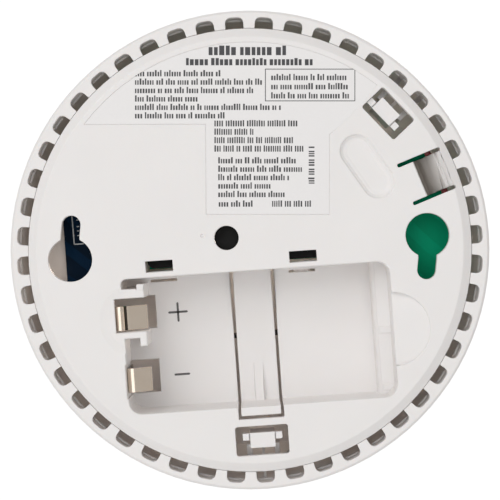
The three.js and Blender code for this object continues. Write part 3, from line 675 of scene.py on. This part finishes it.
def plate_shape(place):
    """Deepens the trough's inner side, and draws the label bed's corner back from the hook pocket."""
    on_face = place.y < LABEL_DEPTH
    if on_face and (Vector((place.x, place.z)) - LABEL_CORNER).length < LABEL_MATCH:
        return place + LABEL_SHIFT
    along = Vector((math.cos(TROUGH_ANGLE), 0, math.sin(TROUGH_ANGLE)))
    across = Vector((-along.z, 0, along.x))
    for (run, depth), (new_run, new_depth) in TROUGH_LINES:
        on_line = math.hypot(place.dot(along) - run * MM, place.y - depth * MM) < TROUGH_MATCH
        if on_line and abs(place.dot(across)) < TROUGH_REACH:
            return place + along * (new_run - run) * MM + Vector((0, (new_depth - depth) * MM, 0))
    return place


# A rib's corner at the cover's wall moves from the first depth to the second.
GUSSET = {"from": 3.7 * MM, "to": 10.4 * MM, "wall": 47.5 * MM}


def cover_shape(place):
    """The ribs behind the hooks slope away towards the cover's side, like gussets."""
    on_rib = abs(place.y - GUSSET["from"]) < 0.02 * MM
    if on_rib and from_axis(place) > GUSSET["wall"]:
        return Vector((place.x, GUSSET["to"], place.z))
    return place


FLANGE = {"radius": 46.5 * MM, "depth": 4 * MM}


def cover_softness(place):
    """The edge that meets the back plate stays crisp, so that the joint is a fine line."""
    return 0 if from_axis(place) < FLANGE["radius"] and place.y < FLANGE["depth"] else 1


moulded("back_plate", CASING, 0.26 * MM, plate_softness, plate_shape)
moulded("battery_tongue", CASING, 0.15 * MM)
moulded("front_cover", CASING, 0.12 * MM, cover_softness, cover_shape, blend=16)
moulded("test_button", CASING, 0.2 * MM)
moulded("sounder_carrier", GREY_PLASTIC, 0.15 * MM)

dress(LABEL, "rating_label")
dress(GREEN_BOARD, "main_board")
dress(DARK_BOARD, "sounder_board")
dress(STEEL, "board_screw_1", "board_screw_2", "board_screw_3", "carrier_screw_1", "carrier_screw_2")
dress(CHIP, "controller_chip", "driver_chip", "boost_inductor", "test_switch_body", "photodiode")
dress(CAN, "large_capacitor", "small_capacitor")
dress(BLACK_PLASTIC, "test_switch_plunger", "chamber_base", "chamber_labyrinth")
dress(RED_LAMP, "status_led")
dress(CLEAR, "light_pipe", "ir_emitter")
dress(SCREEN, "insect_screen")
dress(BRASS, "piezo_disc")
dress(CERAMIC, "piezo_ceramic")
dress(RED_WIRE, "red_battery_lead", "piezo_lead_edge")
dress(BLACK_WIRE, "black_battery_lead", "piezo_lead_centre")


# ---------- battery contacts ----------
def smooth_line(points, steps=6):
    """Catmull-Rom curve through (x, y) points, with so many steps from one to the next."""
    points = [Vector(point) for point in points]
    padded = [2 * points[0] - points[1], *points, 2 * points[-1] - points[-2]]
    line = []
    for a, b, c, d in zip(padded, padded[1:], padded[2:], padded[3:]):
        for k in range(steps):
            t = k / steps
            line.append(0.5 * (2 * b + (c - a) * t + (2 * a - 5 * b + 4 * c - d) * t * t
                               + (3 * b - 3 * c + d - a) * t ** 3))
    return [*line, points[-1]]


def spring_strip(node, path, width, thickness):
    """A bent strip: the path lies in X and Y, and the width runs along Z."""
    low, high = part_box(node)
    middle = (low.z + high.z) / 2
    line = smooth_line([(x * MM, y * MM) for x, y in path])
    bm = bmesh.new()
    rings = []
    for k, point in enumerate(line):
        along = (line[min(k + 1, len(line) - 1)] - line[max(k - 1, 0)]).normalized()
        side = Vector((-along.y, along.x)) * thickness / 2
        corners = [(point + side, -1), (point + side, 1), (point - side, 1), (point - side, -1)]
        rings.append([bm.verts.new((at.x, at.y, middle + sign * width / 2)) for at, sign in corners])
    for one, other in zip(rings, rings[1:]):
        for k in range(4):
            after = (k + 1) % 4
            bm.faces.new((one[k], one[after], other[after], other[k]))
    bm.faces.new(rings[0][::-1])
    bm.faces.new(rings[-1])
    piece = add_object(node + "_strip", finish_mesh(bm, node), NICKEL, NODES[node]["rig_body"])
    piece.data.set_sharp_from_angle(angle=STRIP_TURN)
    round_edges(piece, 0.07 * MM, "ANGLE")
    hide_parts(node)


# Each path gives (across, depth) in millimetres, from the tail under the bay's floor to the blade.
STRIP_THICKNESS = 0.4 * MM
STRIP_WIDTH = 5.1 * MM
POSITIVE_PATH = [
    (-29.3, 19), (-29.3, 11), (-29.3, 4), (-29.2, 3.1), (-28.85, 2.65), (-28.3, 2.5), (-27.8, 2.6),
    (-27.5, 2.95), (-27.45, 3.4), (-27.6, 3.9), (-27.75, 4.4), (-27.65, 4.85), (-27.3, 5.05),
    (-26.8, 5.15), (-26.3, 5.35), (-25.6, 5.75), (-22.6, 7.4),
]
NEGATIVE_PATH = [
    (-27.3, 19), (-27.3, 11), (-27.3, 4.6), (-27.15, 4.05), (-26.8, 3.8), (-26.3, 3.8), (-25.8, 4),
    (-24.5, 4.9), (-22.5, 6.3),
]
spring_strip("positive_contact", POSITIVE_PATH, STRIP_WIDTH, STRIP_THICKNESS)
spring_strip("negative_contact", NEGATIVE_PATH, STRIP_WIDTH, STRIP_THICKNESS)


# ---------- polarity marks ----------
BAY_FLOOR = 17 * MM  # depth
MARK_INK = 0.03 * MM
MARK_LINE = 0.45 * MM
MARK_X = -16.5 * MM
PLUS_Z, MINUS_Z = -12.3 * MM, -25.8 * MM
PLUS_HALF = 1.9 * MM
MINUS_HALF = 0.78 * PLUS_HALF
print_strokes("plus_mark", [
    ((MARK_X - PLUS_HALF, PLUS_Z), (MARK_X + PLUS_HALF, PLUS_Z)),
    ((MARK_X, PLUS_Z - PLUS_HALF), (MARK_X, PLUS_Z + PLUS_HALF)),
], MARK_LINE, BAY_FLOOR, MARK_INK, GREY_INK)
print_strokes("minus_mark", [
    ((MARK_X - MINUS_HALF, MINUS_Z), (MARK_X + MINUS_HALF, MINUS_Z)),
], MARK_LINE, BAY_FLOOR, MARK_INK, GREY_INK)


# ---------- printing on the label ----------
# The wording is left out: each row is a run of word-like groups of plain blocks.
# A row gives its left end, right end and height above the disc's centre, and its blocks' height
# and look, in millimetres. A look gives a block's width, and the height of its low blocks, as
# shares of the full height.
LABEL_TILT = math.radians(-4)  # the label is stuck on a little askew
LABEL_INK = 0.012 * MM
BOX_LINE = 0.16 * MM
LETTER = 1.3
BLOCK_GAP, WORD_GAP = 0.15, 0.3  # shares of the height too
TITLE = {"weight": 0.45, "low": 0.84}
SMALL = {"weight": 0.25, "low": 0.72}
CAPITALS = {"weight": 0.22, "low": 0.92}


def paragraph(left, top, pitch, rights, look=SMALL):
    """Rows of even spacing that start at one left edge."""
    return [(left, right, top - k * pitch, LETTER, look) for k, right in enumerate(rights)]


LABEL_ROWS = [
    (-8.6, 8.9, 40.5, 2.0, TITLE),
    (-13.3, 13.6, 38.4, 1.5, TITLE),
    *paragraph(-23.9, 36.1, 1.75, [-5.2, 2.5, 1.1, -10.6, 6.7, -4.8]),
    *paragraph(4.4, 35.3, 1.9, [20.2, 20.9, 20.9]),
    *paragraph(-7.4, 25.7, 1.75, [10.1, 1.6, 9.9, 11.9], CAPITALS),
    *paragraph(-6.6, 18.0, 1.75, [10.5, 11.9, 8.5, 4.6, 7.4]),
    (-6.5, 0.9, 9.0, LETTER, SMALL),
    (4.6, 13.1, 9.0, LETTER, CAPITALS),
]
SIDE_ROW = (13.4, 21.9, 13.8)  # a row that runs up the label's right side: across, top, bottom
NOTE_BOX = (3.2, 21.8, 31, 37.6)  # left, right, bottom, top of the ruled box


def on_label(across, up):
    """A place on the label, in millimetres, as (x, z) in metres."""
    cos, sin = math.cos(LABEL_TILT), math.sin(LABEL_TILT)
    return ((across * cos - up * sin) * MM, (across * sin + up * cos) * MM)


def block_row(bm, left, right, size, look, near, far, place):
    """Word-like groups of small blocks between two ends; place turns (along, up) into (x, z)."""
    at = left
    while at < right - size * 0.5:
        for _ in range(random.randint(2, 8)):
            width = size * look["weight"] * random.uniform(0.8, 1.2)
            rise = size * random.choice((look["low"], look["low"], look["low"], 1.0))
            if at + width > right:
                break
            corners = [(at, 0), (at + width, 0), (at + width, rise), (at, rise)]
            prism(bm, [place(*corner) for corner in corners], near, far)
            at += width + size * BLOCK_GAP
        at += size * WORD_GAP


def label_print():
    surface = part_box("rating_label")[0].y
    near, far = surface - LABEL_INK, surface + SUNK
    random.seed(12)
    bm = bmesh.new()
    for left, right, up, size, look in LABEL_ROWS:
        block_row(bm, left, right, size, look, near, far,
                  lambda along, rise: on_label(along, up + rise))
    across, top, bottom = SIDE_ROW
    block_row(bm, bottom, top, LETTER, CAPITALS, near, far,
              lambda along, rise: on_label(across - rise, along))
    left, right, bottom, top = NOTE_BOX
    corners = [on_label(left, bottom), on_label(right, bottom), on_label(right, top), on_label(left, top)]
    for start, end in zip(corners, corners[1:] + corners[:1]):
        prism(bm, stroke(start, end, BOX_LINE), near, far)
    add_object("label_print", finish_mesh(bm, "label_print", smooth=False), BLACK_INK, "casing")


label_print()


# ---------- legend on the small dark board ----------
# (x, z) in millimetres, seen through the left keyhole.
LEGEND_CORNER = (-37.1, 3.8)
LEGEND_LINES = [(LEGEND_CORNER, (-37.2, 10.2)), (LEGEND_CORNER, (-35.2, 3.8))]
LEGEND_DASHES = [((-36.2, z), (-35.9, z)) for z in (8.9, 7.5, 6.6, 5.6)]
LEGEND_INK = 0.02 * MM
LEGEND_LINE = 0.24 * MM


def board_legend():
    """Two lines that meet in a corner, and a row of dashes."""
    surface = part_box("sounder_board")[0].y
    strokes = [[tuple(value * MM for value in end) for end in line]
               for line in LEGEND_LINES + LEGEND_DASHES]
    print_strokes("board_legend", strokes, LEGEND_LINE, surface, LEGEND_INK, WHITE_INK)


board_legend()


# ---------- stage and light ----------
def world_light(ambient, backdrop):
    """Even pale surroundings: the camera sees them nearly white, the object gets a softer share."""
    world = bpy.data.worlds.new("studio")
    bpy.context.scene.world = world
    world.use_nodes = True
    tree = world.node_tree
    tree.nodes.clear()
    rays = tree.nodes.new("ShaderNodeLightPath")
    mix = tree.nodes.new("ShaderNodeMixShader")
    soft = tree.nodes.new("ShaderNodeBackground")
    seen = tree.nodes.new("ShaderNodeBackground")
    out = tree.nodes.new("ShaderNodeOutputWorld")
    soft.inputs["Color"].default_value = (1, 0.98, 0.96, 1)
    soft.inputs["Strength"].default_value = ambient
    seen.inputs["Color"].default_value = (1, 1, 1, 1)
    seen.inputs["Strength"].default_value = backdrop
    tree.links.new(rays.outputs["Is Camera Ray"], mix.inputs[0])
    tree.links.new(soft.outputs[0], mix.inputs[1])
    tree.links.new(seen.outputs[0], mix.inputs[2])
    tree.links.new(mix.outputs[0], out.inputs["Surface"])


def add_lamp(name, kind, place, power):
    """A light of this kind, with its power in watts."""
    data = bpy.data.lights.new(name, kind)
    data.energy = power
    lamp = bpy.data.objects.new(name, data)
    bpy.context.scene.collection.objects.link(lamp)
    lamp.location = place
    return lamp


def softbox(name, place, size, power):
    """A square area light at this place, in metres, aimed at the object."""
    lamp = add_lamp(name, "AREA", place, power)
    lamp.data.size = size
    lamp.rotation_euler = (-Vector(place)).to_track_quat("-Z", "Y").to_euler()


def seeping_light(name, x, y, z, power):
    """Daylight that seeps through the thin casing and warms its inside; it casts no shadow.

    The place is in millimetres.
    """
    lamp = add_lamp(name, "POINT", (x * MM, y * MM, z * MM), power)
    lamp.data.color = (1, 0.83, 0.70)
    lamp.data.shadow_soft_size = 1 * MM
    lamp.data.use_shadow = False
    lamp.data.cycles.cast_shadow = False


world_light(ambient=0.47, backdrop=1.05)
softbox("key", (-0.55, -1.0, 0.55), size=0.8, power=4.4)
softbox("camera_fill", (0, -1.2, 0), size=1.0, power=3.2)
softbox("front_key", (0.6, 0.8, 0.6), size=0.6, power=4.4)
softbox("front_fill", (-0.6, 1.0, 0.1), size=0.9, power=1.2)
seeping_light("seep_middle", 0, 29, 4, power=0.0033)
seeping_light("seep_contacts", -24, 26, -19, power=0.0002)
seeping_light("seep_lower_hook", 0, 27, -40, power=0.0001)
seeping_light("seep_upper_hook", 30, 27, 25, power=0.0001)
seeping_light("seep_keyhole", -41, 3.5, -1, power=0.00017)
bpy.context.scene.view_settings.view_transform = "Standard"

FLOOR = {"height": -350 * MM, "radius": 1200 * MM, "thickness": 10 * MM, "sides": 64}


def pale_floor():
    """A wide disc below the alarm, out of the main view."""
    shader = Shader("pale_floor", (0.82, 0.82, 0.815), 0.7)
    shader.color(shader.mix(shader.noise(0.4), (0.80, 0.80, 0.795), (0.84, 0.84, 0.835)))
    bm = bmesh.new()
    bmesh.ops.create_cone(
        bm, cap_ends=True, segments=FLOOR["sides"], radius1=FLOOR["radius"], radius2=FLOOR["radius"],
        depth=FLOOR["thickness"])
    centre = Vector((0, 0, FLOOR["height"] - FLOOR["thickness"] / 2))
    bmesh.ops.translate(bm, verts=bm.verts, vec=centre)
    floor = bpy.data.objects.new("pale_floor", finish_mesh(bm, "pale_floor", smooth=False))
    floor.data.materials.append(shader.material)
    bpy.context.scene.collection.objects.link(floor)


pale_floor()
